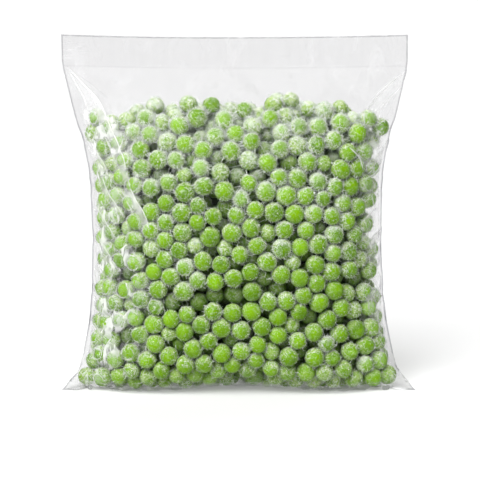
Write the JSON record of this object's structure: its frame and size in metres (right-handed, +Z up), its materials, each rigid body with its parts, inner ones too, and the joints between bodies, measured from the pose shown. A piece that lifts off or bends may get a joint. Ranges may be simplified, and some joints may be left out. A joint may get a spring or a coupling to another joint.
{
  "type": "frozen vegetable bag",
  "caption": "Clear pillow bag of frozen green peas that stands upright, with a flat heat-sealed band along its top and flat ears at the corners of its base.",
  "frame": {"origin": "on the floor, under the middle of the bag's box", "axes": "+Z up the bag from its base to its seal band, +X along the seal to the right as seen from the front, the front film faces -Y"},
  "size_m": [0.1848, 0.0709, 0.184],
  "materials": {
    "filled_bag": "clear film tight over frosted green peas",
    "film": "clear, glossy, thin packing film with small wrinkles",
    "pea_skin": "yellow-green pea skin with a soft shine under patches of white frost",
    "frost": "white ice crystals"
  },
  "bodies": {
    "root": {"pea_bag": "filled_bag"}
  },
  "joints": []
}
